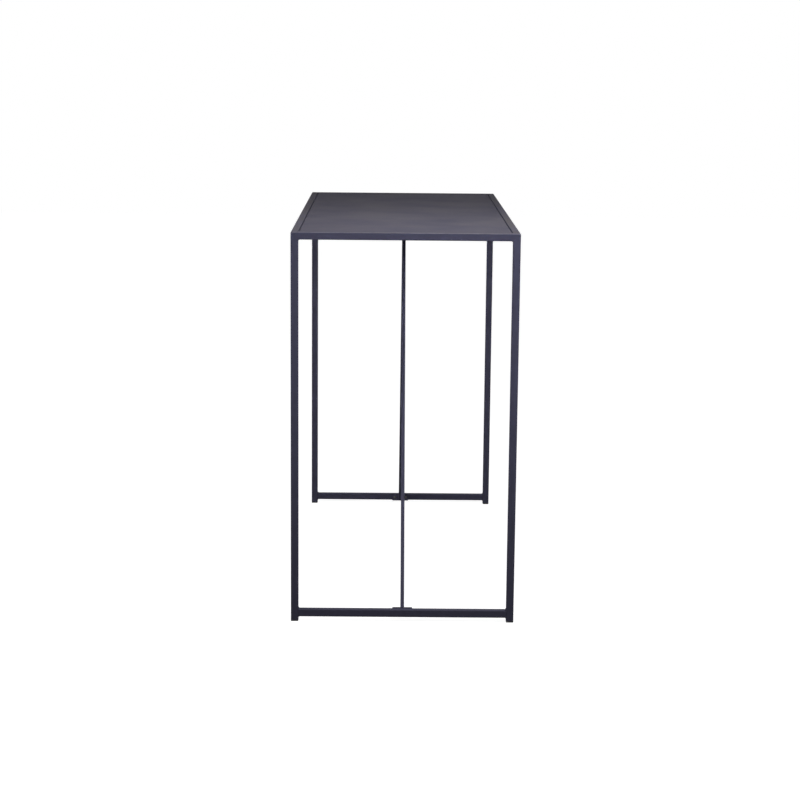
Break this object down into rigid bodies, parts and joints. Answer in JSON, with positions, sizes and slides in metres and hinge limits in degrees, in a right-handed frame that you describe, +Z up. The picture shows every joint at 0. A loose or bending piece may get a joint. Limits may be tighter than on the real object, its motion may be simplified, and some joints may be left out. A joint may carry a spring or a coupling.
{
  "type": "bar table",
  "caption": "Slender bar-height table in square steel tube: closed end frames, a flush sheet-metal top set in a tube rim, and a slim upside-down V brace under it.",
  "frame": {"origin": "on the floor, under the middle of the top", "axes": "+X along the length towards the front end, +Y across the width, +Z up"},
  "size_m": [1.4, 0.6, 1.05],
  "materials": {
    "powder_coat_frame": "satin charcoal powder coat, slightly blue, fine texture",
    "powder_coat_panel": "satin charcoal powder coat on flat sheet, fine texture",
    "glide_plastic": "moulded black, matt",
    "black_bolt": "black zinc",
    "zinc_steel": "bright zinc plate"
  },
  "bodies": {
    "root": {"bearer_rivet_nuts": "zinc_steel", "brace_apex_plate": "powder_coat_frame", "brace_bolts": "black_bolt", "brace_foot_plate_front": "powder_coat_frame", "brace_foot_plate_rear": "powder_coat_frame", "brace_strut_front": "powder_coat_frame", "brace_strut_rear": "powder_coat_frame", "centre_bearer": "powder_coat_frame", "cross_bearer_front": "powder_coat_frame", "cross_bearer_rear": "powder_coat_frame", "end_bearer_front": "powder_coat_frame", "end_bearer_rear": "powder_coat_frame", "end_rail_front": "powder_coat_frame", "end_rail_rear": "powder_coat_frame", "end_rail_rivet_nuts": "zinc_steel", "foot_cap_front_left": "glide_plastic", "foot_cap_front_right": "glide_plastic", "foot_cap_rear_left": "glide_plastic", "foot_cap_rear_right": "glide_plastic", "foot_rail_front": "powder_coat_frame", "foot_rail_rear": "powder_coat_frame", "foot_rail_rivet_nuts": "zinc_steel", "frame_bolts": "black_bolt", "leg_front_left": "powder_coat_frame", "leg_front_right": "powder_coat_frame", "leg_rear_left": "powder_coat_frame", "leg_rear_right": "powder_coat_frame", "panel_nuts": "zinc_steel", "panel_studs": "zinc_steel", "side_rail_left": "powder_coat_frame", "side_rail_right": "powder_coat_frame", "top_panel": "powder_coat_panel", "welds_front": "powder_coat_frame", "welds_rear": "powder_coat_frame"}
  },
  "joints": []
}
